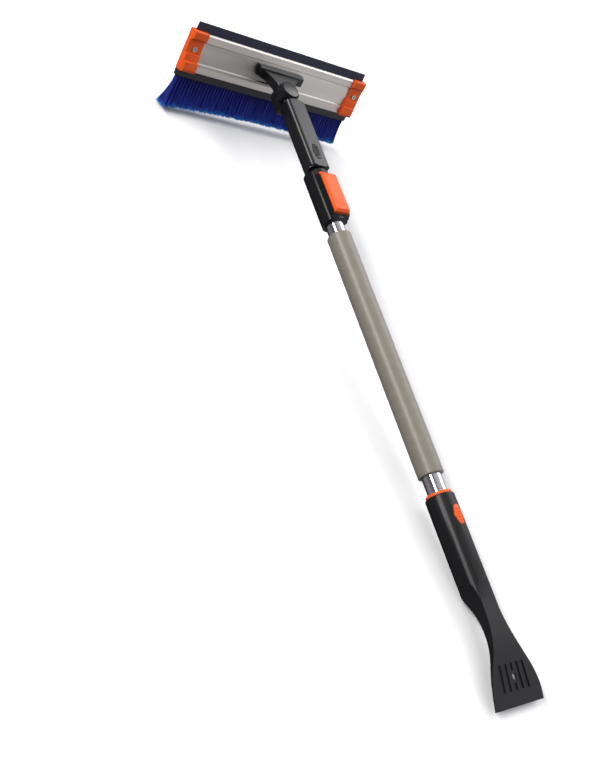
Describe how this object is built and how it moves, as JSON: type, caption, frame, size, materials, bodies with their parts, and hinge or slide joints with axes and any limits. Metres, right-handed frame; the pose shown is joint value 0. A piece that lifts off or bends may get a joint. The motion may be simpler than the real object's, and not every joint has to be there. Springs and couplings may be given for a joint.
{
  "type": "windshield ice scraper",
  "caption": "Telescopic snow brush with a swivelling squeegee-and-bristle head, flip-lever clamp, foam grip and an ice scraper blade at the handle end",
  "frame": {"origin": "centre of the bounding box in plan, at the height of the lowest bristle tips", "axes": "+X across the head, +Y along the handle from the scraper blade towards the head, +Z out of the side that carries the squeegee, the flip lever and the push buttons"},
  "size_m": [0.322, 0.9259, 0.1155],
  "materials": {
    "black_plastic": "satin moulded nylon",
    "orange_plastic": "semi-gloss moulded ABS",
    "aluminium": "satin anodised extrusion",
    "steel": "bright zinc plate",
    "tube_metal": "polished tube",
    "foam": "fine matte closed-cell foam",
    "squeegee_rubber": "smooth matte rubber",
    "brush_back": "matte moulded polypropylene",
    "bristle": "crimped filaments"
  },
  "bodies": {
    "handle": {"scraper_handle": "black_plastic", "handle_ring": "orange_plastic", "handle_button_spring": "steel", "outer_tube": "tube_metal", "foam_grip": "foam", "clamp_collar": "black_plastic", "collar_rivet": "steel", "lever_pin": "steel"},
    "handle_button": {"handle_button": "orange_plastic"},
    "lever": {"lock_lever": "orange_plastic"},
    "pad": {"clamp_pad": "black_plastic"},
    "neck": {"inner_tube": "tube_metal", "inner_tube_bush": "black_plastic", "neck_socket": "black_plastic", "upper_button_spring": "steel", "pivot_pin": "steel", "pivot_washer": "steel", "pivot_spring": "steel"},
    "upper_button": {"upper_button": "black_plastic"},
    "pivot_button": {"pivot_button": "black_plastic"},
    "head": {"head_bracket": "black_plastic", "bracket_screws": "steel", "head_profile": "aluminium", "end_cap_left": "orange_plastic", "end_cap_right": "orange_plastic", "cap_screws": "steel", "squeegee_blade": "squeegee_rubber", "brush_block": "brush_back", "bristles": "bristle"}
  },
  "joints": [
    {"name": "extend", "type": "slide", "parent": "handle", "child": "neck", "axis": [0, 1, 0], "range_m": [0, 0.38]},
    {"name": "head_swivel", "type": "hinge", "parent": "neck", "child": "head", "pos_m": [0, 0.40548, 0.07509], "axis": [0, 0, 1], "range_deg": [-90, 90]},
    {"name": "pivot_press", "type": "slide", "parent": "neck", "child": "pivot_button", "axis": [0, 0, -1], "range_m": [0, 0.0025], "stiffness_N_per_m": 600, "springref_m": -0.002, "deforming": ["pivot_spring"]},
    {"name": "upper_button_press", "type": "slide", "parent": "neck", "child": "upper_button", "axis": [0, 0, -1], "range_m": [0, 0.0025], "stiffness_N_per_m": 600, "springref_m": -0.002, "deforming": ["upper_button_spring"]},
    {"name": "handle_button_press", "type": "slide", "parent": "handle", "child": "handle_button", "axis": [0, 0, -1], "range_m": [0, 0.0025], "stiffness_N_per_m": 600, "springref_m": -0.002, "deforming": ["handle_button_spring"]},
    {"name": "lever_open", "type": "hinge", "parent": "handle", "child": "lever", "pos_m": [0, 0.24748, 0.09629], "axis": [-1, 0, 0], "range_deg": [0, 90]},
    {"name": "pad_lift", "type": "slide", "parent": "handle", "child": "pad", "axis": [0, 0, 1], "range_m": [0, 0.0007]}
  ],
  "couplings": [
    {"joint": "pad_lift", "follows": "lever_open", "m_per_rad": 0.00044}
  ]
}
